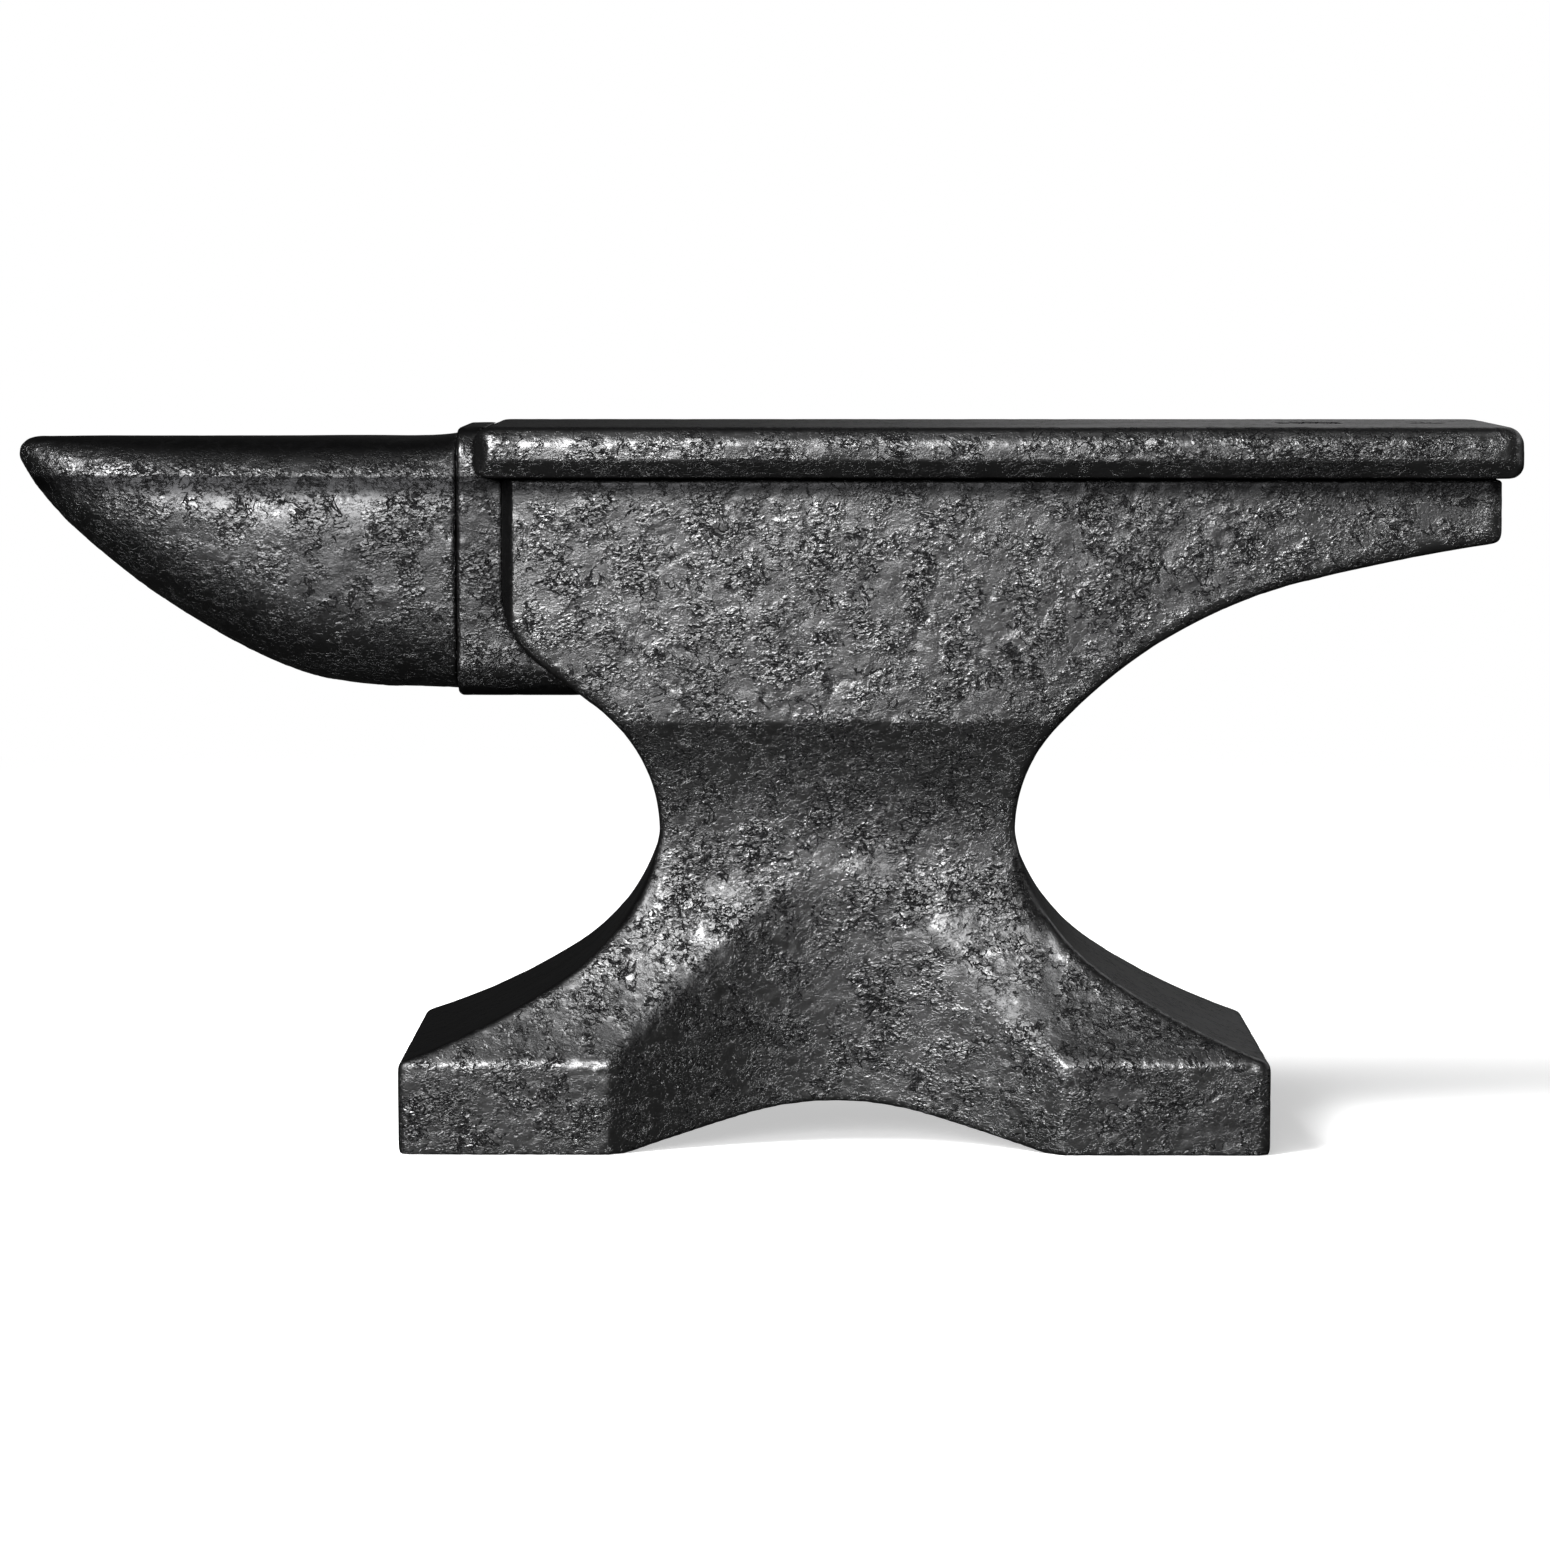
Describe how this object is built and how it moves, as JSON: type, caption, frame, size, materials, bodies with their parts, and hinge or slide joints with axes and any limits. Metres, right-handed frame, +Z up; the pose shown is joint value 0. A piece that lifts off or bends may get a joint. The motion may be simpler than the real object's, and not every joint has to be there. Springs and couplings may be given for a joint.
{
  "type": "blacksmith's anvil",
  "caption": "Single-horn forged anvil with a collared horn, a flat steel face over the heel, a waisted body and four spread feet.",
  "frame": {"origin": "on the floor plane, under the middle of the bounding box", "axes": "+Z up, -X towards the tip of the horn, +X towards the heel, +Y towards the rear flank"},
  "size_m": [0.632, 0.16, 0.3017],
  "materials": {
    "forged_iron": "rough black forge scale, dull sheen",
    "face_steel": "black scaled steel, worn on the edges",
    "horn_iron": "black hammered iron, slightly smoother"
  },
  "bodies": {
    "root": {"face_plate": "face_steel", "body_core": "forged_iron", "heel_block": "forged_iron", "base_core": "forged_iron", "foot_front_left": "forged_iron", "foot_rear_left": "forged_iron", "foot_front_right": "forged_iron", "foot_rear_right": "forged_iron", "horn": "horn_iron", "horn_collar": "horn_iron"}
  },
  "joints": []
}
